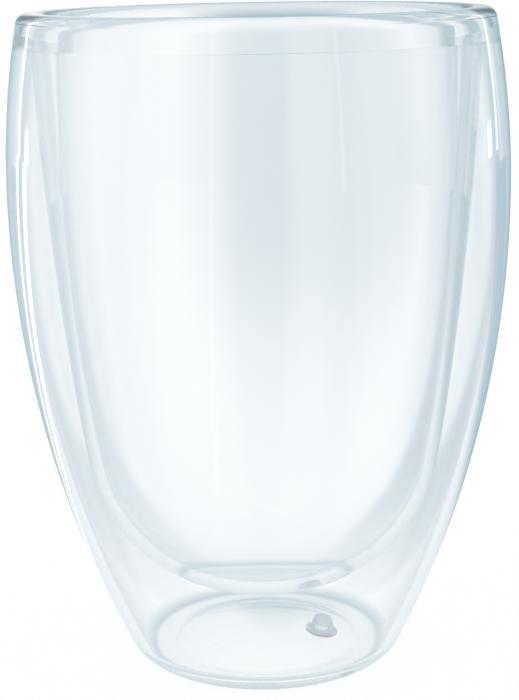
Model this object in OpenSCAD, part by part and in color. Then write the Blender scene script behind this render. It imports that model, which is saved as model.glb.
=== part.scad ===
// Double walled drinking glass: a rounded outer wall, a bowl hung inside it from the rim,
// a sealed air gap between the two, and a small plug in the base that closes the vent hole.
// Millimetres, +Z up, origin on the table under the middle of the foot.

/* [Outline] */
// Height from the table to the top of the lip
height = 120; // [100:1:150]
// Outside diameter where the lip starts to round over
rim_d = 84.7; // [72:0.1:98]
// How far the belly swells out past the rim, on each side
belly_swell = 2.85; // [1:0.05:6]
// Depth of the belly's widest place below the top of the lip
belly_drop = 32; // [22:1:45]
// Diameter at which the wall's curve would meet the table
foot_d = 48.6; // [40:0.1:58]
// Radius of the rounded heel between wall and table
heel_r = 6; // [4:0.1:9]

/* [Outer wall] */
// Thickness of the outer wall at the belly and below
outer_t = 2.1; // [1.4:0.1:3]
// Thickness of the outer wall where it runs into the rim
outer_rim_t = 2.75; // [1.8:0.05:3.4]
// Thickness of the floor
floor_t = 2.6; // [1.8:0.1:4]
// How far the middle of the underside is pushed up
punt_h = 2.4; // [1.9:0.1:4]
// Width of the flat ring that stands on the table
ring_w = 3.6; // [2.5:0.1:5]

/* [Inner bowl] */
// Thickness of the bowl's wall at its waist
bowl_t = 2.2; // [1.4:0.1:3]
// Thickness of the bowl's bottom in the middle
bowl_floor_t = 2.2; // [1.6:0.1:3.2]
// Depth of the bowl's waist below the top of the lip
waist_drop = 70; // [56:1:84]
// Width of the air gap at the waist
air_gap = 4.9; // [3:0.1:7]
// Clear height between the base's floor and the bowl's bottom
base_gap = 8.3; // [5:0.1:14]
// Radius of the long curve of the bowl's outside
bowl_curve_r = 600; // [300:10:1500]
// Radius of the long curve of the bowl's inside, below its upright part
cup_curve_r = 350; // [200:10:450]
// Radius of the shallow dish under the bowl
dish_r = 43; // [36:1:60]
// Width of that dish, up to the bend that leads into the wall
dish_w = 21; // [14:1:30]

/* [Rim] */
// Height of the solid lip that joins the two walls
lip_h = 5.8; // [4:0.1:9]
// Thickness of the lip at its foot
lip_w = 7.5; // [6.6:0.1:9]
// Radius of the lip's outer edge
lip_outer_r = 2; // [1:0.1:2.6]
// Radius of the lip's inner edge
lip_inner_r = 3.5; // [2:0.1:4]
// Width of the air gap at its very top, under the lip
gap_top_w = 0.5; // [0.3:0.1:1]

/* [Vent] */
// Distance from the inner edge of the standing ring to the middle of the vent hole
vent_inset = 6.5; // [5:0.1:12]
// Diameter of the vent hole
vent_d = 3; // [2:0.1:4]
// Diameter of the plug's head
head_d = 6; // [4.6:0.1:7]
// Thickness of the plug's head
head_t = 0.5; // [0.3:0.05:0.7]
// Diameter of the plug's bulb inside the air gap
bulb_d = 4.4; // [4.2:0.1:6]
// Height of the plug's bulb
bulb_h = 1.5; // [0.8:0.1:2.5]
// Clearance between the plug and the glass
vent_clear = 0.05; // [0.02:0.01:0.1]

/* [Hidden] */
$fn = 144;
// Straight steps in each arc of a profile
arc_n = 14;
// How far a cutting cylinder runs past the glass
overrun = 1;
glass = [0.80, 0.87, 0.90, 0.35];
lip_glass = [0.68, 0.78, 0.83, 0.45];
silicone = [0.90, 0.92, 0.92, 0.7];

// Shared curves. Every arc is given by its centre [radius, height] and its own radius.

// Radius of the arc that stands upright at radius wide and has come in to radius narrow dz away
function upright_arc_r(wide, narrow, dz) = (pow(wide - narrow, 2) + dz * dz) / (2 * (wide - narrow));

// Radius of the turned surface on an arc at height z
function arc_at(centre, r, z) = centre.x + sqrt(r * r - pow(z - centre.y, 2));

// Height of a ball of radius r, above its centre, at a distance from its upright axis
function ball_height(r, distance) = sqrt(r * r - distance * distance);

// Direction from a centre to a point
function angle_to(centre, p) = atan2(p.y - centre.y, p.x - centre.x);

// Points along an arc, without its first one, where the line before it already ends
function sweep(centre, r, from, to) =
    [for (i = [1 : arc_n]) let (a = from + (to - from) * i / arc_n) centre + r * [cos(a), sin(a)]];

// Centre of the arc of radius r through a lower and an upper point, bulging outwards
function centre_through(low, high, r) =
    let (chord = high - low, half = norm(chord) / 2, back = sqrt(r * r - half * half))
    (low + high) / 2 + back * [-chord.y, chord.x] / norm(chord);

// Radius of the bend that leaves a dish at point p, whose inward normal is n, and touches a wall arc
function bend_radius(p, n, wall_c, wall_r) =
    let (v = p - wall_c) (wall_r * wall_r - v * v) / (2 * (n * v + wall_r));

// Outer wall, outside
rim_r = rim_d / 2;
belly_r = rim_r + belly_swell;
belly_h = height - belly_drop;
lip_start_h = height - lip_outer_r;
seam_h = height - lip_h;
low_arc_r = upright_arc_r(belly_r, foot_d / 2, belly_h);
low_c = [belly_r - low_arc_r, belly_h];
high_arc_r = upright_arc_r(belly_r, rim_r, lip_start_h - belly_h);
high_c = [belly_r - high_arc_r, belly_h];
heel_c = [arc_at(low_c, low_arc_r - heel_r, heel_r), heel_r];
seam_r = arc_at(high_c, high_arc_r, seam_h);

// The underside is part of a large ball, and so is the floor above it
ring_r = heel_c.x - ring_w;
punt_r = (ring_r * ring_r + punt_h * punt_h) / (2 * punt_h);
punt_c = [0, punt_h - punt_r];
ring_angle = angle_to(punt_c, [ring_r, 0]);
floor_r = punt_r + floor_t;
floor_edge = punt_c + floor_r * [cos(ring_angle), sin(ring_angle)];

// Outer wall, inside
inner_low_r = low_arc_r - outer_t;
gap_top_r = seam_r - outer_rim_t;
inner_high_r = upright_arc_r(belly_r - outer_t, gap_top_r, seam_h - belly_h);
inner_high_c = [belly_r - outer_t - inner_high_r, belly_h];
inner_heel_r = heel_r - outer_t;
inner_heel_h = floor_edge.y + inner_heel_r;
inner_heel_c = [arc_at(low_c, inner_low_r - inner_heel_r, inner_heel_h), inner_heel_h];

// Bowl, outside
waist_h = height - waist_drop;
bowl_top = [gap_top_r - gap_top_w, seam_h];
bowl_waist = [arc_at(low_c, inner_low_r, waist_h) - air_gap, waist_h];
bowl_c = centre_through(bowl_waist, bowl_top, bowl_curve_r);
bowl_bottom_h = punt_h + floor_t + base_gap;
dish_c = [0, bowl_bottom_h + dish_r];
dish_tilt = asin(dish_w / 2 / dish_r);
dish_inward = [-sin(dish_tilt), cos(dish_tilt)];
dish_end = dish_c - dish_r * dish_inward;
bend_r = bend_radius(dish_end, dish_inward, bowl_c, bowl_curve_r);
bend_c = dish_end + bend_r * dish_inward;

// Bowl, inside
mouth_r = seam_r - lip_w;
mouth_step = mouth_r - (bowl_waist.x - bowl_t);
upright_h = waist_h + sqrt(mouth_step * (2 * cup_curve_r - mouth_step));
cup_c = [mouth_r - cup_curve_r, upright_h];
cup_dish_r = dish_r - bowl_floor_t;
cup_dish_end = dish_c - cup_dish_r * dish_inward;
cup_bend_r = bend_radius(cup_dish_end, dish_inward, cup_c, cup_curve_r);
cup_bend_c = cup_dish_end + cup_bend_r * dish_inward;

// Lip. Its inner rounding takes no more than the width that the outer one leaves.
lip_outer_c = [arc_at(high_c, high_arc_r - lip_outer_r, lip_start_h), lip_start_h];
inner_round_r = min(lip_inner_r, lip_outer_c.x - mouth_r);
inner_round_c = [mouth_r + inner_round_r, height - inner_round_r];

// Plug, measured from the centre of the ball that the base follows
vent_tilt = asin((ring_r - vent_inset) / punt_r);
neck_r = vent_d / 2 - vent_clear;
head_top_r = punt_r - vent_clear;
bulb_foot_r = floor_r + vent_clear;

// Puts its children on the line from the ball's centre through the vent hole
module on_vent_axis() {
    translate([0, 0, punt_c.y])
        rotate([0, vent_tilt, 0])
            children();
}

// Outer wall: one blown piece with its floor, a flat standing ring and the vent hole
module outer_wall() {
    outside = concat(
        [[0, punt_h]],
        sweep(punt_c, punt_r, 90, ring_angle),
        [[heel_c.x, 0]],
        sweep(heel_c, heel_r, -90, angle_to(low_c, heel_c)),
        sweep(low_c, low_arc_r, angle_to(low_c, heel_c), 0),
        sweep(high_c, high_arc_r, 0, angle_to(high_c, [seam_r, seam_h]))
    );
    inside = concat(
        [[gap_top_r, seam_h]],
        sweep(inner_high_c, inner_high_r, angle_to(inner_high_c, [gap_top_r, seam_h]), 0),
        sweep(low_c, inner_low_r, 0, angle_to(low_c, inner_heel_c)),
        sweep(inner_heel_c, inner_heel_r, angle_to(low_c, inner_heel_c), -90),
        [floor_edge],
        sweep(punt_c, floor_r, ring_angle, 90)
    );
    color(glass)
        difference() {
            rotate_extrude() polygon(concat(outside, inside));
            on_vent_axis()
                translate([0, 0, punt_r - overrun])
                    cylinder(d = vent_d, h = floor_t + 2 * overrun);
        }
}

// Bowl that holds the drink: a shallow dish, a round bend and a wall that thickens to the rim
module inner_bowl() {
    outside = concat(
        [[0, bowl_bottom_h]],
        sweep(dish_c, dish_r, -90, dish_tilt - 90),
        sweep(bend_c, bend_r, dish_tilt - 90, angle_to(bowl_c, bend_c)),
        sweep(bowl_c, bowl_curve_r, angle_to(bowl_c, bend_c), angle_to(bowl_c, bowl_top))
    );
    inside = concat(
        [[mouth_r, seam_h], [mouth_r, upright_h]],
        sweep(cup_c, cup_curve_r, 0, angle_to(cup_c, cup_bend_c)),
        sweep(cup_bend_c, cup_bend_r, angle_to(cup_c, cup_bend_c), dish_tilt - 90),
        sweep(dish_c, cup_dish_r, dish_tilt - 90, -90)
    );
    color(glass)
        rotate_extrude() polygon(concat(outside, inside));
}

// Lip: the ring of melted glass that joins the ends of both walls and closes the air gap
module rim_lip() {
    profile = concat(
        [[mouth_r, seam_h], [seam_r, seam_h]],
        sweep(
            high_c, high_arc_r,
            angle_to(high_c, [seam_r, seam_h]), angle_to(high_c, lip_outer_c)
        ),
        sweep(lip_outer_c, lip_outer_r, angle_to(high_c, lip_outer_c), 90),
        [[inner_round_c.x, height]],
        sweep(inner_round_c, inner_round_r, 90, 180)
    );
    color(lip_glass)
        rotate_extrude() polygon(profile);
}

// Plug: a thin head under the base, a neck through the hole and a bulb that holds it inside
module vent_plug() {
    profile = [
        [0, head_top_r - head_t],
        [head_d / 2, head_top_r - head_t],
        [head_d / 2, ball_height(head_top_r, head_d / 2)],
        [neck_r, ball_height(head_top_r, neck_r)],
        [neck_r, ball_height(bulb_foot_r, neck_r)],
        [bulb_d / 2, ball_height(bulb_foot_r, bulb_d / 2)],
        [neck_r, bulb_foot_r + bulb_h],
        [0, bulb_foot_r + bulb_h]
    ];
    color(silicone)
        on_vent_axis()
            rotate_extrude() polygon(profile);
}

outer_wall();
inner_bowl();
rim_lip();
vent_plug();
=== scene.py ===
"""Double walled drinking glass: its turned glass pieces, the plug in its base and a pale studio stage."""

import math

import bmesh
import bpy
from bpy.props import (
    FloatProperty,
    FloatVectorProperty,
    IntProperty,
    PointerProperty,
)
from mathutils import Matrix, Vector


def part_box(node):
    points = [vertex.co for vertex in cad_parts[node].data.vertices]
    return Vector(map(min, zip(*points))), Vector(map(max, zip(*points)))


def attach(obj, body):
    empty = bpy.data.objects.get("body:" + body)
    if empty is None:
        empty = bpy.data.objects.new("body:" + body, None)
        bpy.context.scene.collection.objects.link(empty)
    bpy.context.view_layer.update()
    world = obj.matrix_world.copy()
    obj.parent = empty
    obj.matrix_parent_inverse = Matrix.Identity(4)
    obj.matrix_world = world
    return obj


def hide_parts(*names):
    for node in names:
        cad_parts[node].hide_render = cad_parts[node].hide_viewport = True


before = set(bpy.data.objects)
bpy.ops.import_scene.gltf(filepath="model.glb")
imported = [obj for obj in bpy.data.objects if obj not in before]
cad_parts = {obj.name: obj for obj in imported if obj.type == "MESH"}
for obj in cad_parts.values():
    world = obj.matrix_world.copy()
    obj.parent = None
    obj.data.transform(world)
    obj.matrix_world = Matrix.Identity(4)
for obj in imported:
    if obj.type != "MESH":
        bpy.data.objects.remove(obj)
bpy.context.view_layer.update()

bl_info = {
    "name": "Double walled drinking glass",
    "version": (1, 0, 0),
    "blender": (4, 5, 0),
    "location": "3D View > Sidebar > Glass",
    "description": "Makes a double walled drinking glass and a pale studio stage for it",
    "category": "Add Mesh",
}

WALL_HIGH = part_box("outer_wall")[1]
BOWL_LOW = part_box("inner_bowl")[0]
LIP_LOW, LIP_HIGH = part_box("rim_lip")
MM = 0.001
BODY = "root"
QUARTER = math.pi / 2
# Meshes: angle from which an edge is sharp, steps of a rounded corner, and reach within which doubles merge
CREASE = math.radians(12)
CORNER_STEPS = 4
WELD = 1e-7
FLOOR_FACETS = 128
# A face belongs to the melted joint where it lies this close to the seam and is this level
FLUSH = 1e-6
LEVEL = 0.9
# Noise of the glass's waves, which are drawn out along its axis, and of the plug's patches and grain
WAVES = {"Scale": 90, "Detail": 1, "Roughness": 0.4}
WAVE_DRAW = (1, 1, 0.12)
PATCHES = {"Scale": 900, "Detail": 3}
PATCH_EDGE = (0.4, 0.7)
GRAIN = {"Scale": 6000, "Detail": 2}
GRAIN_DEPTH = 0.01 * MM
# Roughness of the plug, and how much rougher it is where it is cloudy
PLUG_ROUGHNESS = 0.25
CLOUD_ROUGHNESS = 0.2
# The heel's painted shade sets in across one third of the heel's rounding and fades out over half its
# height
HEEL_ACROSS = 3
HEEL_UP = 2
# Places of a Mix node's colour sockets, whose names its other sockets share
MIX_FIRST, MIX_SECOND, MIX_RESULT = 6, 7, 2
WHITE = (1, 1, 1, 1)
BLACK = (0, 0, 0, 1)
# The camera sees from a hundredth of its distance on
NEAR_PART = 100
# Light crosses four walls and runs on inside the lip, so its paths may be long
LIGHT_BOUNCES = 400
# Grey cards round the glass: direction from +X, half width and softness in degrees, and darkness
CARDS = (
    (8, 20, 2, 0.5),
    (46, 7, 2, 0.45),
    (60, 3, 2, 0.2),
    (85, 7, 5.5, 0.34),
    (134, 5, 2, 0.3),
    (215, 10, 2, 0.4),
    (270, 16, 2, 0.4),
)
# Two more that lie on the floor close to the glass
LOW_CARDS = (
    (52, 9, 3, 0.6),
    (128, 9, 3, 0.35),
)
# One that shows only through the lip, where light has crossed fewer faces of the glass than this
LIP_CARDS = ((88.5, 3.8, 3.3, 0.85),)
LIP_CROSSINGS = 5
# Tall strip lights that the glass mirrors: direction, half width, softness and added strength
STRIPS = (
    (250, 0.8, 0.5, 0.9),
    (306.5, 0.6, 0.5, 1.2),
    (44.7, 1.2, 0.7, 3),
    (135.3, 1.2, 0.7, 3),
)
# Wider ones that end between two heights just under the horizon, and those that the floor carries on
LOW_STRIPS = (
    (36, 2, 0.8, 3),
    (144, 2, 0.8, 3),
)
LOW_STRIP_TOP = (-0.05, -0.02)
FLOOR_STRIPS = (STRIPS[0], STRIPS[3], LOW_STRIPS[1])
# Darker sides of the studio, which only the glass's outer face mirrors, at its edges
SIDES = (
    (63, 14, 3, 0.9),
    (117, 14, 3, 0.75),
)
# Grey ceiling: heights at which it starts and is full, and its darkness
CEILING = (0.1, 0.6, 0.3)


def length(name, description, default):
    """A length that a user can change, in metres."""
    return FloatProperty(
        name=name,
        description=description,
        default=default,
        unit="LENGTH",
        subtype="DISTANCE",
        precision=5,
    )


def colour(name, description, default):
    """A colour that a user can change."""
    return FloatVectorProperty(
        name=name, description=description, default=default, subtype="COLOR", size=3, min=0, max=1
    )


def angle(name, description, degrees):
    """An angle that a user can change, given here in degrees."""
    return FloatProperty(
        name=name,
        description=description,
        default=math.radians(degrees),
        unit="ROTATION",
        subtype="ANGLE",
    )


def number(name, description, default):
    """A plain number that a user can change."""
    return FloatProperty(name=name, description=description, default=default)


class OutlineSizes(bpy.types.PropertyGroup):
    """Sizes of the outer wall and its base."""

    height: length("Height", "Height from the table to the top of the lip", LIP_HIGH.z)
    rim_radius: length("Rim radius", "Outside radius where the lip starts to round over", 42.35 * MM)
    belly_radius: length("Belly radius", "Largest outside radius", WALL_HIGH.y)
    belly_drop: length("Belly depth", "Depth of the widest place below the lip's top", 32 * MM)
    foot_radius: length("Foot radius", "Radius at which the wall's curve would meet the table", 24.3 * MM)
    heel_radius: length("Heel rounding", "Radius of the heel between wall and table", 6 * MM)
    thickness: length("Wall thickness", "Thickness of the outer wall at the belly and below", 2.1 * MM)
    rim_thickness: length("Rim thickness", "Thickness where the wall runs into the lip", 2.75 * MM)
    floor_thickness: length("Floor thickness", "Thickness of the floor", 2.6 * MM)
    punt_height: length("Base push-up", "How far the middle of the underside is pushed up", 2.4 * MM)
    ring_width: length("Standing ring", "Width of the flat ring that stands on the table", 3.6 * MM)


class BowlSizes(bpy.types.PropertyGroup):
    """Sizes of the bowl that holds the drink."""

    thickness: length("Bowl thickness", "Thickness of the bowl's wall at its waist", 2.2 * MM)
    floor_thickness: length("Bowl bottom", "Thickness of the bowl's bottom in the middle", 2.2 * MM)
    waist_drop: length("Waist depth", "Depth of the bowl's waist below the lip's top", 70 * MM)
    air_gap: length("Air gap", "Width of the air gap at the waist", 4.9 * MM)
    bottom: length("Bowl bottom height", "Height of the bowl's underside above the table", BOWL_LOW.z)
    outer_curve: length("Outer curve", "Radius of the long curve of the bowl's outside", 600 * MM)
    inner_curve: length("Inner curve", "Radius of the long curve of the bowl's inside", 350 * MM)
    dish_radius: length("Dish radius", "Radius of the shallow dish under the bowl", 43 * MM)
    dish_width: length("Dish width", "Width of the dish, up to the bend into the wall", 21 * MM)


class LipSizes(bpy.types.PropertyGroup):
    """Sizes of the solid lip that joins the two walls."""

    foot: length("Lip foot", "Height at which the lip starts", LIP_LOW.z)
    width: length("Lip width", "Thickness of the lip at its foot", 7.5 * MM)
    outer_rounding: length("Outer rounding", "Radius of the lip's outer edge", 2 * MM)
    inner_rounding: length("Inner rounding", "Radius of the lip's inner edge", 3.5 * MM)
    slot: length("Slot", "Width of the air gap at its very top, under the lip", 0.5 * MM)
    groove: length("Groove", "Half the width of the groove where the lip starts to round over", 0.12 * MM)
    groove_depth: length("Groove depth", "Depth of that groove", 0.025 * MM)


class VentSizes(bpy.types.PropertyGroup):
    """Sizes of the vent in the base and of its plug."""

    inset: length("Vent inset", "From the standing ring's inner edge to the vent's middle", 6.5 * MM)
    hole_radius: length("Vent radius", "Radius of the vent hole", 1.5 * MM)
    head_radius: length("Head radius", "Radius of the plug's head", 3 * MM)
    head_thickness: length("Head thickness", "Thickness of the plug's head", 0.5 * MM)
    bulb_radius: length("Bulb radius", "Radius of the plug's bulb inside the air gap", 2.2 * MM)
    bulb_height: length("Bulb height", "Height of the plug's bulb", 1.5 * MM)
    clearance: length("Clearance", "Clearance between the plug and the glass", 0.05 * MM)


class Finish(bpy.types.PropertyGroup):
    """Finish of the glass and of the plug, with the shade painted into the glass's colour at its edges and
    heel.
    """

    bend: number("Index of refraction", "How strongly the glass bends light", 1.47)
    clear: colour("Clear tint", "Tint where one looks straight through the glass", (0.991, 0.997, 1.0))
    # Edge and lip tints: partly the glass's own tint, partly painted shade where one looks along the glass
    edge: colour("Edge tint", "Tint where one looks along the glass", (0.12, 0.36, 0.50))
    edge_power: number("Edge power", "How closely the outer wall's tint keeps to edges", 3.5)
    bowl_power: number("Bowl power", "How closely the bowl's tint keeps to edges", 3.5)
    # Heel tint: partly the thick glass's own tint, partly painted shade where the glass stands on the table
    heel: colour("Heel tint", "Tint of the thick glass of the heel", (0.36, 0.50, 0.57))
    lip_tint_and_shade: colour("Lip tint", "Tint where one looks along the thick lip", (0.10, 0.30, 0.42))
    lip_power: number("Lip power", "How closely the lip's tint keeps to edges", 2.0)
    worn_height: length("Worn height", "Height up to which the standing ring is scuffed", 0.3 * MM)
    worn: number("Wear", "Roughness of the scuffed standing ring", 0.1)
    wave: length("Waviness", "Height of the faint waves that blowing leaves in the glass", 0.012 * MM)
    silicone: colour("Silicone", "Colour of the plug", (0.90, 0.93, 0.94))
    silicone_shade: colour("Silicone shade", "Colour of the plug's duller patches", (0.76, 0.81, 0.84))
    silicone_bend: number("Silicone's index of refraction", "How strongly the plug bends light", 1.41)
    silicone_clear: number("Silicone's clearness", "Share of the light that passes into the plug", 0.3)
    facets: IntProperty(name="Facets", description="Facets round each turned piece of glass", default=192)
    small_facets: IntProperty(name="Small facets", description="Facets round the vent and plug", default=48)


class StageSettings(bpy.types.PropertyGroup):
    """Camera, floor, and the cards and strip lights round the glass."""

    distance: length("Camera distance", "From the glass's axis to the camera", 300 * MM)
    camera_height: length("Camera height", "Height of the camera above the table", 129.43 * MM)
    pitch: angle("Camera pitch", "How far the camera looks down", 13.41)
    roll: angle("Camera roll", "How far the camera leans to its right", 0.95)
    lens: number("Lens", "Focal length for a 36 mm sensor, in millimetres", 85.53)
    shift: number("Shift", "Sideways shift of the picture", -0.0029)
    floor_radius: length("Floor radius", "Radius of the round floor", 1.2)
    floor_gap: length("Floor gap", "How far the floor lies under the standing ring", 0.02 * MM)
    floor_paint: number("Floor paint", "How pale the floor is without its glow", 0.06)
    card_colour: colour("Card", "Colour of the grey cards round the glass", (0.22, 0.39, 0.47))
    clear_radius: length("Clear radius", "Radius within which the floor shows no cards", 0.32)
    low_radius: length("Low radius", "Radius within which the floor shows no low cards", 0.07)
    strip_radius: length("Strip radius", "Radius within which the floor shows no strip light", 0.12)


def settings():
    """All sizes and colours, as the scene holds them."""
    return bpy.context.scene.drinking_glass


class GlassSettings(bpy.types.PropertyGroup):
    """Everything about the glass that a user can change."""

    outline: PointerProperty(type=OutlineSizes)
    bowl: PointerProperty(type=BowlSizes)
    lip: PointerProperty(type=LipSizes)
    vent: PointerProperty(type=VentSizes)
    finish: PointerProperty(type=Finish)
    stage: PointerProperty(type=StageSettings)


def upright_radius(wide, narrow, rise):
    """Radius of the arc that stands upright at radius wide and has come in to narrow after rise."""
    return ((wide - narrow) ** 2 + rise**2) / (2 * (wide - narrow))


def heading(centre, point):
    """Direction from a centre to a point of the section."""
    return math.atan2(point.y - centre.y, point.x - centre.x)


def along(direction):
    """The unit step of the section in that direction."""
    return Vector((math.cos(direction), math.sin(direction)))


class Arc:
    """A round stretch of a section, by its centre (radius, height) and its own radius."""

    def __init__(self, centre, radius):
        self.centre = Vector(centre)
        self.radius = radius

    def at_height(self, height):
        """The arc's outer point at a height."""
        rise = height - self.centre.y
        return Vector((self.centre.x + math.sqrt(self.radius**2 - rise**2), height))

    def at(self, direction):
        """The arc's point in a direction from its centre."""
        return self.centre + self.radius * along(direction)

    def inset(self, by):
        """The same arc with a smaller radius."""
        return Arc(self.centre, self.radius - by)


def arc_through(low, high, radius):
    """The arc of that radius through a lower and an upper point, bulging outwards."""
    chord = high - low
    back = math.sqrt(radius**2 - chord.length_squared / 4)
    sideways = Vector((-chord.y, chord.x)).normalized()
    return Arc((low + high) / 2 + back * sideways, radius)


def bend_from(point, inward, wall):
    """The bend that leaves a dish at point, whose inward normal is given, and touches a wall's arc."""
    reach = point - wall.centre
    radius = (wall.radius**2 - reach.length_squared) / (2 * (inward.dot(reach) + wall.radius))
    return Arc(point + radius * inward, radius)


class Shape:
    """The arcs and heights of the whole glass, worked out from its sizes."""

    def __init__(self, sizes):
        outline, bowl, lip = sizes.outline, sizes.bowl, sizes.lip
        self.seam = lip.foot
        self.top = outline.height
        belly = outline.height - outline.belly_drop
        lip_start = outline.height - lip.outer_rounding
        # Outside of the outer wall
        low_radius = upright_radius(outline.belly_radius, outline.foot_radius, belly)
        self.low = Arc((outline.belly_radius - low_radius, belly), low_radius)
        high_radius = upright_radius(outline.belly_radius, outline.rim_radius, lip_start - belly)
        self.high = Arc((outline.belly_radius - high_radius, belly), high_radius)
        self.seam_edge = self.high.at_height(self.seam)
        heel_centre = self.low.inset(outline.heel_radius).at_height(outline.heel_radius)
        self.heel = Arc(heel_centre, outline.heel_radius)
        # The ball that the underside and the floor follow
        self.ring = heel_centre.x - outline.ring_width
        ball_radius = (self.ring**2 + outline.punt_height**2) / (2 * outline.punt_height)
        self.ball = Arc((0, outline.punt_height - ball_radius), ball_radius)
        self.floor = self.ball.inset(-outline.floor_thickness)
        self.ring_turn = heading(self.ball.centre, Vector((self.ring, 0)))
        # Inside of the outer wall
        self.low_inside = self.low.inset(outline.thickness)
        gap_top = self.seam_edge.x - outline.rim_thickness
        inside_belly = outline.belly_radius - outline.thickness
        high_inside = upright_radius(inside_belly, gap_top, self.seam - belly)
        self.high_inside = Arc((inside_belly - high_inside, belly), high_inside)
        self.gap_outer = Vector((gap_top, self.seam))
        heel_inside = outline.heel_radius - outline.thickness
        heel_height = self.floor.at(self.ring_turn).y + heel_inside
        self.heel_inside = Arc(self.low_inside.inset(heel_inside).at_height(heel_height), heel_inside)
        # Outside of the bowl
        waist_height = outline.height - bowl.waist_drop
        self.gap_inner = Vector((gap_top - lip.slot, self.seam))
        waist = self.low_inside.at_height(waist_height) - Vector((bowl.air_gap, 0))
        self.bowl_wall = arc_through(waist, self.gap_inner, bowl.outer_curve)
        self.dish = Arc((0, bowl.bottom + bowl.dish_radius), bowl.dish_radius)
        tilt = math.asin(bowl.dish_width / 2 / bowl.dish_radius)
        self.dish_turn = tilt - QUARTER
        inward = -along(self.dish_turn)
        self.bend = bend_from(self.dish.at(self.dish_turn), inward, self.bowl_wall)
        # Inside of the bowl
        self.mouth = self.seam_edge.x - lip.width
        step = self.mouth - (waist.x - bowl.thickness)
        upright = waist_height + math.sqrt(step * (2 * bowl.inner_curve - step))
        self.cup_wall = Arc((self.mouth - bowl.inner_curve, upright), bowl.inner_curve)
        self.cup_dish = self.dish.inset(bowl.floor_thickness)
        self.cup_bend = bend_from(self.cup_dish.at(self.dish_turn), inward, self.cup_wall)
        # Lip
        self.lip_outer = Arc(self.high.inset(lip.outer_rounding).at_height(lip_start), lip.outer_rounding)
        self.lip_inner = Arc(
            (self.mouth + lip.inner_rounding, self.top - lip.inner_rounding), lip.inner_rounding
        )
        # Vent
        vent_tilt = math.asin((self.ring - sizes.vent.inset) / self.ball.radius)
        ball_centre = Matrix.Translation((0, 0, self.ball.centre.y))
        self.vent_place = ball_centre @ Matrix.Rotation(vent_tilt, 4, "Y")


def on_ball(radius, reach):
    """The point of a ball's section at a distance from its axis."""
    return Vector((reach, math.sqrt(radius**2 - reach**2)))


class Section:
    """Half of a turned piece's section, drawn from one vertex with arcs and lines."""

    def __init__(self, start):
        self.mesh = bmesh.new()
        self.tip = self.mesh.verts.new((start.x, 0, start.y))
        self.corners = []

    def arc(self, arc, start, end, steps):
        """Turns the tip round the arc's centre, from one direction to another."""
        spun = bmesh.ops.spin(
            self.mesh,
            geom=[self.tip],
            cent=(arc.centre.x, 0, arc.centre.y),
            axis=(0, -1, 0),
            angle=end - start,
            steps=steps,
        )
        self.tip = spun["geom_last"][0]

    def line(self, point, rounding=0):
        """Draws a straight line to a point of the section, whose corner may be rounded."""
        made = bmesh.ops.extrude_vert_indiv(self.mesh, verts=[self.tip])
        self.tip = made["verts"][0]
        self.tip.co = (point.x, 0, point.y)
        if rounding:
            self.corners.append((self.tip, rounding))

    def turned(self, name, facets, place=None):
        """Spins the section once round its axis, closes its seam and poles and puts it in its place."""
        bm = self.mesh
        for corner, rounding in self.corners:
            bmesh.ops.bevel(
                bm,
                geom=[corner],
                offset=rounding,
                offset_type="OFFSET",
                segments=CORNER_STEPS,
                profile=0.5,
                affect="VERTICES",
                material=-1,
            )
        bmesh.ops.spin(
            bm,
            geom=bm.verts[:] + bm.edges[:],
            cent=(0, 0, 0),
            axis=(0, 0, 1),
            angle=math.tau,
            steps=facets,
            use_merge=True,
        )
        bmesh.ops.remove_doubles(bm, verts=bm.verts[:], dist=WELD)
        bmesh.ops.recalc_face_normals(bm, faces=bm.faces[:])
        if place:
            bmesh.ops.transform(bm, matrix=place, verts=bm.verts[:])
        for face in bm.faces:
            face.smooth = True
        mesh = bpy.data.meshes.new(name)
        bm.to_mesh(mesh)
        bm.free()
        mesh.set_sharp_from_angle(angle=CREASE)
        piece = bpy.data.objects.new(name, mesh)
        bpy.context.scene.collection.objects.link(piece)
        return piece


def vent_bore(shape):
    """The round bar that is cut out of the base, from below its underside to above its floor."""
    vent = settings().vent
    low = shape.ball.radius - vent.bulb_height
    high = shape.floor.radius + vent.bulb_height
    bore = Section(Vector((0, low)))
    bore.line(Vector((vent.hole_radius, low)))
    bore.line(Vector((vent.hole_radius, high)))
    bore.line(Vector((0, high)))
    return bore.turned("vent_bore", settings().finish.small_facets, shape.vent_place)


def drill(piece, cutter):
    """Cuts a cutter out of a piece for good and removes the cutter."""
    cut = piece.modifiers.new("cut", "BOOLEAN")
    cut.operation = "DIFFERENCE"
    cut.solver = "EXACT"
    cut.object = cutter
    ready = bpy.context.evaluated_depsgraph_get()
    mesh = bpy.data.meshes.new_from_object(piece.evaluated_get(ready))
    piece.modifiers.clear()
    old = piece.data
    piece.data = mesh
    mesh.name = piece.name
    mesh.set_sharp_from_angle(angle=CREASE)
    bpy.data.meshes.remove(old)
    bpy.data.objects.remove(cutter)


class Wire:
    """A shader value that Python can add, subtract, multiply, divide and raise."""

    def __init__(self, nodes, socket):
        self.nodes = nodes
        self.socket = socket

    def maths(self, operation, *others):
        """A Math node on this value and the others."""
        return self.nodes.maths(operation, self, *others)

    def __add__(self, other):
        return self.nodes.maths("ADD", self, other)

    def __radd__(self, other):
        return self.nodes.maths("ADD", other, self)

    def __sub__(self, other):
        return self.nodes.maths("SUBTRACT", self, other)

    def __rsub__(self, other):
        return self.nodes.maths("SUBTRACT", other, self)

    def __mul__(self, other):
        return self.nodes.maths("MULTIPLY", self, other)

    def __rmul__(self, other):
        return self.nodes.maths("MULTIPLY", other, self)

    def __truediv__(self, other):
        return self.nodes.maths("DIVIDE", self, other)

    def __pow__(self, other):
        return self.nodes.maths("POWER", self, other)


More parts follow.
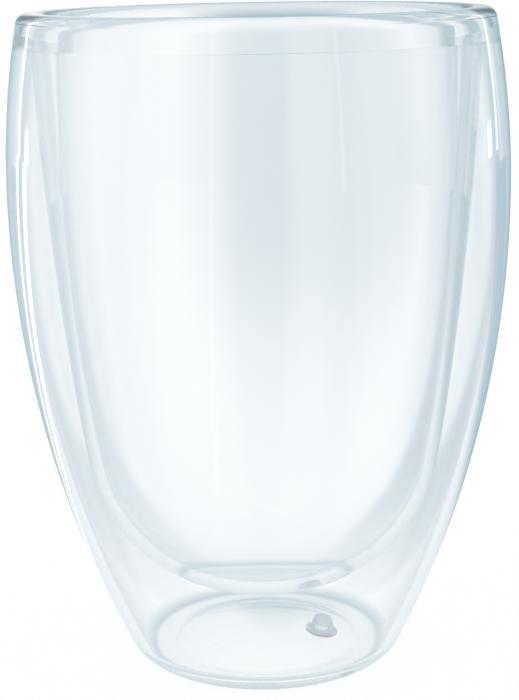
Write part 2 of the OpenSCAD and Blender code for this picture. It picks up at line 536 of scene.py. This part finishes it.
class Nodes:
    """The node tree of a material or of the world."""

    def __init__(self, owner):
        owner.use_nodes = True
        self.tree = owner.node_tree
        self.tree.nodes.clear()

    def add(self, kind, options=None, inputs=None):
        """A new node: its options are set first, then its sockets are filled or linked."""
        node = self.tree.nodes.new(kind)
        for name, value in (options or {}).items():
            setattr(node, name, value)
        for name, value in (inputs or {}).items():
            if isinstance(value, Wire):
                self.tree.links.new(value.socket, node.inputs[name])
            else:
                node.inputs[name].default_value = value
        return node

    def wire(self, kind, options=None, inputs=None, output=0):
        """A new node's output, ready for sums."""
        return Wire(self, self.add(kind, options, inputs).outputs[output])

    def maths(self, operation, *values):
        """A Math node on these values."""
        return self.wire("ShaderNodeMath", {"operation": operation}, dict(enumerate(values)))

    def step(self, value, low, high, top=1):
        """A soft step from 0 at low to top at high."""
        return self.wire(
            "ShaderNodeMapRange",
            {"interpolation_type": "SMOOTHSTEP"},
            {"Value": value, "From Min": low, "From Max": high, "To Max": top},
        )

    def mix(self, share, first, second):
        """A colour between two others."""
        colours = {MIX_FIRST: first, MIX_SECOND: second}
        return self.wire("ShaderNodeMix", {"data_type": "RGBA"}, {"Factor": share, **colours}, MIX_RESULT)

    def place(self, source="Object"):
        """The x, y and z of a place on a piece, or in the world of a direction."""
        towards = self.wire("ShaderNodeTexCoord", output=source)
        parts = self.add("ShaderNodeSeparateXYZ", {}, {"Vector": towards})
        return [Wire(self, part) for part in parts.outputs]


def from_axis(x, y):
    """How far a place lies from the glass's axis."""
    return (x * x + y * y) ** 0.5


def heel_shade_share(nodes):
    """How far a place of the outer wall lies in the thick glass of its heel, near the table, where shade is
    painted.
    """
    outline = settings().outline
    x, y, z = nodes.place()
    start = outline.foot_radius - outline.ring_width
    across = nodes.step(from_axis(x, y), start, start + outline.heel_radius / HEEL_ACROSS)
    return across * (1 - nodes.step(z, 0, outline.heel_radius / HEEL_UP))


def glass_material(name, tint, power, heel=False):
    """Clear glass, faintly wavy, that turns grey-blue where one looks along it: partly its own tint, partly
    painted shade.
    """
    finish = settings().finish
    material = bpy.data.materials.new(name)
    nodes = Nodes(material)
    # Painted shade: the colour turns towards the tint where one looks along the glass, besides the glass's
    # own tint
    edge_shade_share = nodes.wire("ShaderNodeLayerWeight", output="Facing") ** power
    tone = nodes.mix(edge_shade_share, (*finish.clear, 1), (*tint, 1))
    # Painted shade near the table at the heel, besides the thick glass's own tint
    if heel:
        tone = nodes.mix(heel_shade_share(nodes), tone, (*finish.heel, 1))
    place = nodes.wire("ShaderNodeTexCoord", output="Object")
    drawn = nodes.wire("ShaderNodeVectorMath", {"operation": "MULTIPLY"}, {0: place, 1: WAVE_DRAW})
    waves = nodes.wire("ShaderNodeTexNoise", {}, {"Vector": drawn, **WAVES})
    waved = nodes.wire("ShaderNodeBump", {}, {"Height": waves, "Distance": finish.wave})
    height = nodes.place()[2]
    scuffed = (1 - nodes.step(height, finish.worn_height / 2, finish.worn_height)) * finish.worn
    surface = nodes.wire(
        "ShaderNodeBsdfPrincipled",
        {},
        {
            "Base Color": tone,
            "Roughness": scuffed,
            "IOR": finish.bend,
            "Transmission Weight": 1,
            "Normal": waved,
        },
    )
    nodes.add("ShaderNodeOutputMaterial", {}, {"Surface": surface})
    return material


def fuse(piece, shape):
    """Lets light cross the faces where lip and walls are melted into one, as if they weren't there."""
    joint = bpy.data.materials.get("melted joint")
    if not joint:
        joint = bpy.data.materials.new("melted joint")
        nodes = Nodes(joint)
        clear = nodes.wire("ShaderNodeBsdfTransparent")
        nodes.add("ShaderNodeOutputMaterial", {}, {"Surface": clear})
    piece.data.materials.append(joint)
    for face in piece.data.polygons:
        flat = abs(face.center.z - shape.seam) < FLUSH and abs(face.normal.z) > LEVEL
        if flat and not shape.gap_inner.x < face.center.xy.length < shape.gap_outer.x:
            face.material_index = 1


def silicone_material():
    """Milky silicone, a little cloudy and duller in patches."""
    finish = settings().finish
    material = bpy.data.materials.new("silicone")
    nodes = Nodes(material)
    place = nodes.wire("ShaderNodeTexCoord", output="Object")
    cloud = nodes.wire("ShaderNodeTexNoise", {}, {"Vector": place, **PATCHES})
    patchy = nodes.step(cloud, *PATCH_EDGE)
    tone = nodes.mix(patchy, (*finish.silicone, 1), (*finish.silicone_shade, 1))
    grain = nodes.wire("ShaderNodeTexNoise", {}, {"Vector": place, **GRAIN})
    pitted = nodes.wire("ShaderNodeBump", {}, {"Height": grain, "Distance": GRAIN_DEPTH})
    surface = nodes.wire(
        "ShaderNodeBsdfPrincipled",
        {},
        {
            "Base Color": tone,
            "Roughness": PLUG_ROUGHNESS + cloud * CLOUD_ROUGHNESS,
            "IOR": finish.silicone_bend,
            "Transmission Weight": finish.silicone_clear,
            "Normal": pitted,
        },
    )
    nodes.add("ShaderNodeOutputMaterial", {}, {"Surface": surface})
    return material


def hand_over(piece, material, node):
    """Gives a finished piece its material and its place in the frame."""
    piece.data.materials.append(material)
    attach(piece, BODY)
    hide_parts(node)


class GLASS_OT_outer_wall(bpy.types.Operator):
    """Makes the outer wall with its floor, heel and standing ring"""

    bl_idname = "glass.outer_wall"
    bl_label = "Outer wall"

    def execute(self, context):
        shape = Shape(settings())
        section = Section(Vector((0, shape.ball.radius + shape.ball.centre.y)))
        section.arc(shape.ball, QUARTER, shape.ring_turn, steps=20)
        section.line(Vector((shape.heel.centre.x, 0)))
        to_wall = heading(shape.low.centre, shape.heel.centre)
        section.arc(shape.heel, -QUARTER, to_wall, steps=20)
        section.arc(shape.low, to_wall, 0, steps=64)
        section.arc(shape.high, 0, heading(shape.high.centre, shape.seam_edge), steps=24)
        section.line(shape.gap_outer)
        from_seam = heading(shape.high_inside.centre, shape.gap_outer)
        section.arc(shape.high_inside, from_seam, 0, steps=24)
        to_heel = heading(shape.low.centre, shape.heel_inside.centre)
        section.arc(shape.low_inside, 0, to_heel, steps=64)
        section.arc(shape.heel_inside, to_heel, -QUARTER, steps=16)
        section.line(shape.floor.at(shape.ring_turn))
        section.arc(shape.floor, shape.ring_turn, QUARTER, steps=20)
        finish = settings().finish
        piece = section.turned("outer_glass_wall", finish.facets)
        drill(piece, vent_bore(shape))
        glass = glass_material("wall glass", finish.edge, finish.edge_power, heel=True)
        hand_over(piece, glass, "outer_wall")
        fuse(piece, shape)
        return {"FINISHED"}


class GLASS_OT_inner_bowl(bpy.types.Operator):
    """Makes the bowl that holds the drink"""

    bl_idname = "glass.inner_bowl"
    bl_label = "Inner bowl"

    def execute(self, context):
        shape = Shape(settings())
        section = Section(Vector((0, shape.dish.centre.y - shape.dish.radius)))
        section.arc(shape.dish, -QUARTER, shape.dish_turn, steps=8)
        to_wall = heading(shape.bowl_wall.centre, shape.bend.centre)
        section.arc(shape.bend, shape.dish_turn, to_wall, steps=40)
        to_seam = heading(shape.bowl_wall.centre, shape.gap_inner)
        section.arc(shape.bowl_wall, to_wall, to_seam, steps=48)
        section.line(Vector((shape.mouth, shape.seam)))
        section.line(Vector((shape.mouth, shape.cup_wall.centre.y)))
        to_bend = heading(shape.cup_wall.centre, shape.cup_bend.centre)
        section.arc(shape.cup_wall, 0, to_bend, steps=32)
        section.arc(shape.cup_bend, to_bend, shape.dish_turn, steps=40)
        section.arc(shape.cup_dish, shape.dish_turn, -QUARTER, steps=8)
        finish = settings().finish
        piece = section.turned("inner_glass_bowl", finish.facets)
        glass = glass_material("bowl glass", finish.edge, finish.bowl_power)
        hand_over(piece, glass, "inner_bowl")
        fuse(piece, shape)
        return {"FINISHED"}


class GLASS_OT_rim_lip(bpy.types.Operator):
    """Makes the solid lip that joins both walls"""

    bl_idname = "glass.rim_lip"
    bl_label = "Rim lip"

    def execute(self, context):
        shape = Shape(settings())
        section = Section(Vector((shape.mouth, shape.seam)))
        section.line(shape.gap_inner)
        section.line(shape.gap_outer)
        section.line(shape.seam_edge)
        from_seam = heading(shape.high.centre, shape.seam_edge)
        to_top = heading(shape.high.centre, shape.lip_outer.centre)
        lip = settings().lip
        below = to_top - lip.groove / shape.high.radius
        above = to_top + lip.groove / shape.lip_outer.radius
        section.arc(shape.high, from_seam, below, steps=8)
        section.line(shape.high.inset(lip.groove_depth).at(to_top))
        section.line(shape.lip_outer.at(above))
        section.arc(shape.lip_outer, above, QUARTER, steps=16)
        section.line(Vector((shape.lip_inner.centre.x, shape.top)))
        section.arc(shape.lip_inner, QUARTER, math.pi, steps=20)
        section.line(Vector((shape.mouth, shape.seam)))
        finish = settings().finish
        piece = section.turned("glass_lip", finish.facets)
        glass = glass_material("lip glass", finish.lip_tint_and_shade, finish.lip_power)
        hand_over(piece, glass, "rim_lip")
        fuse(piece, shape)
        return {"FINISHED"}


class GLASS_OT_vent_plug(bpy.types.Operator):
    """Makes the plug that closes the vent in the base"""

    bl_idname = "glass.vent_plug"
    bl_label = "Vent plug"

    def execute(self, context):
        shape = Shape(settings())
        vent = settings().vent
        neck = vent.hole_radius - vent.clearance
        under = shape.ball.radius - vent.clearance
        above = shape.floor.radius + vent.clearance
        head = under - vent.head_thickness
        top = above + vent.bulb_height
        head_edge = vent.head_thickness / 2
        bulb_edge = vent.bulb_height / 5
        top_edge = vent.bulb_height / 3
        section = Section(Vector((0, head)))
        section.line(Vector((vent.head_radius, head)), head_edge)
        section.line(on_ball(under, vent.head_radius))
        section.line(on_ball(under, neck))
        section.line(on_ball(above, neck))
        section.line(on_ball(above, vent.bulb_radius), bulb_edge)
        section.line(Vector((neck, top)), top_edge)
        section.line(Vector((0, top)))
        piece = section.turned("silicone_plug", settings().finish.small_facets, shape.vent_place)
        hand_over(piece, silicone_material(), "vent_plug")
        return {"FINISHED"}


class GLASS_OT_stage(bpy.types.Operator):
    """Makes the floor, the studio light and the camera"""

    bl_idname = "glass.stage"
    bl_label = "Stage"

    def execute(self, context):
        make_floor(context)
        light_world(context)
        place_camera(context)
        context.scene.view_settings.view_transform = "Standard"
        # Cutting light paths short leaves black in the lip, and blurring highlights darkens the plug
        paths = context.scene.cycles
        paths.max_bounces = paths.glossy_bounces = paths.transmission_bounces = LIGHT_BOUNCES
        paths.blur_glossy = 0
        return {"FINISHED"}


def make_floor(context):
    """A round floor that lies just under the standing ring, which keeps their faces apart."""
    stage = settings().stage
    bm = bmesh.new()
    under = Matrix.Translation((0, 0, -stage.floor_gap))
    bmesh.ops.create_circle(
        bm,
        cap_ends=True,
        radius=stage.floor_radius,
        segments=FLOOR_FACETS,
        matrix=under,
    )
    mesh = bpy.data.meshes.new("floor")
    bm.to_mesh(mesh)
    bm.free()
    floor = bpy.data.objects.new("floor", mesh)
    context.scene.collection.objects.link(floor)
    mesh.materials.append(floor_material())


def upright_bands(nodes, x, y, bands):
    """How much of the upright bands, such as cards, shows in a direction round the glass."""
    reach = from_axis(x, y)
    shown = 0
    for degrees, half_width, soft, strength in bands:
        middle = math.radians(degrees)
        outer = math.cos(math.radians(half_width + soft))
        inner = math.cos(math.radians(half_width - soft))
        facing = (x * math.cos(middle) + y * math.sin(middle)) / reach
        shown = nodes.step(facing, outer, inner, strength) + shown
    return shown


def seen_by(nodes, *rays):
    """1 where the ray is of one of these kinds."""
    path = nodes.add("ShaderNodeLightPath")
    seen = Wire(nodes, path.outputs[rays[0]])
    for ray in rays[1:]:
        seen = seen + Wire(nodes, path.outputs[ray])
    return seen.maths("MINIMUM", 1)


def mirrored(nodes):
    """1 where the ray comes straight from a mirroring surface."""
    path = nodes.add("ShaderNodeLightPath")
    glossy, passed = (Wire(nodes, path.outputs[ray]) for ray in ("Is Glossy Ray", "Is Transmission Ray"))
    return glossy * (1 - passed)


def far_cards(nodes, x, y):
    """How much of the cards round the glass shows, the one for the lip among them."""
    path = nodes.add("ShaderNodeLightPath")
    crossed = Wire(nodes, path.outputs["Transmission Depth"])
    lip_cards = upright_bands(nodes, x, y, LIP_CARDS) * crossed.maths("LESS_THAN", LIP_CROSSINGS)
    return upright_bands(nodes, x, y, CARDS).maths("MAXIMUM", lip_cards)


def studio_tone(nodes, x, y, cards):
    """White, but grey where light that the glass bends or mirrors meets a card or a dark side."""
    bent = seen_by(nodes, "Is Glossy Ray", "Is Transmission Ray")
    sides = upright_bands(nodes, x, y, SIDES) * mirrored(nodes)
    grey = (cards * bent).maths("MAXIMUM", sides)
    return nodes.mix(grey, WHITE, (*settings().stage.card_colour, 1))


def nearness(x, y, radius):
    """1 on the floor at the glass's axis, which fades softly to 0 beyond a radius."""
    return (0 - (x * x + y * y) / radius**2).maths("EXPONENT")


def floor_material():
    """A pale floor that the camera sees as white, with the object's shadow on it."""
    stage = settings().stage
    material = bpy.data.materials.new("pale floor")
    nodes = Nodes(material)
    x, y = nodes.place()[:2]
    far = far_cards(nodes, x, y) * (1 - nearness(x, y, stage.clear_radius))
    low = upright_bands(nodes, x, y, LOW_CARDS) * (1 - nearness(x, y, stage.low_radius))
    tone = studio_tone(nodes, x, y, far.maths("MAXIMUM", low))
    dimmed = nodes.mix(1 - stage.floor_paint, tone, BLACK)
    paint = nodes.wire("ShaderNodeBsdfDiffuse", {}, {"Color": dimmed})
    seen = seen_by(nodes, "Is Camera Ray", "Is Glossy Ray", "Is Transmission Ray")
    strips = upright_bands(nodes, x, y, FLOOR_STRIPS) * mirrored(nodes)
    strength = seen * (1 - stage.floor_paint) + strips * (1 - nearness(x, y, stage.strip_radius))
    glow = nodes.wire("ShaderNodeEmission", {}, {"Color": tone, "Strength": strength})
    both = nodes.wire("ShaderNodeAddShader", {}, {0: paint, 1: glow})
    nodes.add("ShaderNodeOutputMaterial", {}, {"Surface": both})
    return material


def light_world(context):
    """White to the camera, with cards and strip lights for light that the glass bends or mirrors."""
    world = bpy.data.worlds.new("studio")
    context.scene.world = world
    nodes = Nodes(world)
    x, y, z = nodes.place("Generated")
    cards = far_cards(nodes, x, y).maths("MAXIMUM", nodes.step(z, *CEILING))
    tone = studio_tone(nodes, x, y, cards)
    low = upright_bands(nodes, x, y, LOW_STRIPS) * (1 - nodes.step(z, *LOW_STRIP_TOP))
    strips = (upright_bands(nodes, x, y, STRIPS) + low) * mirrored(nodes)
    sky = nodes.wire("ShaderNodeBackground", {}, {"Color": tone, "Strength": 1 + strips})
    nodes.add("ShaderNodeOutputWorld", {}, {"Surface": sky})


def place_camera(context):
    """Puts the camera where the picture of the glass was taken from."""
    stage = settings().stage
    data = bpy.data.cameras.new("camera")
    data.lens = stage.lens
    data.shift_x = stage.shift
    data.clip_start = stage.distance / NEAR_PART
    camera = bpy.data.objects.new("camera", data)
    camera.matrix_world = (
        Matrix.Translation((0, -stage.distance, stage.camera_height))
        @ Matrix.Rotation(QUARTER - stage.pitch, 4, "X")
        @ Matrix.Rotation(-stage.roll, 4, "Z")
    )
    context.scene.collection.objects.link(camera)
    context.scene.camera = camera


class GLASS_PT_pieces(bpy.types.Panel):
    """Lists the pieces of the glass and its stage"""

    bl_label = "Double walled glass"
    bl_idname = "GLASS_PT_pieces"
    bl_space_type = "VIEW_3D"
    bl_region_type = "UI"
    bl_category = "Glass"

    def draw(self, context):
        for operator in OPERATORS:
            self.layout.operator(operator.bl_idname)


OPERATORS = (
    GLASS_OT_outer_wall,
    GLASS_OT_inner_bowl,
    GLASS_OT_rim_lip,
    GLASS_OT_vent_plug,
    GLASS_OT_stage,
)
CLASSES = (
    OutlineSizes,
    BowlSizes,
    LipSizes,
    VentSizes,
    Finish,
    StageSettings,
    GlassSettings,
    *OPERATORS,
    GLASS_PT_pieces,
)


def register():
    for each in CLASSES:
        bpy.utils.register_class(each)
    bpy.types.Scene.drinking_glass = PointerProperty(type=GlassSettings)


def unregister():
    del bpy.types.Scene.drinking_glass
    for each in reversed(CLASSES):
        bpy.utils.unregister_class(each)


def main():
    register()
    bpy.ops.glass.outer_wall()
    bpy.ops.glass.inner_bowl()
    bpy.ops.glass.rim_lip()
    bpy.ops.glass.vent_plug()
    bpy.ops.glass.stage()


if __name__ == "__main__":
    main()
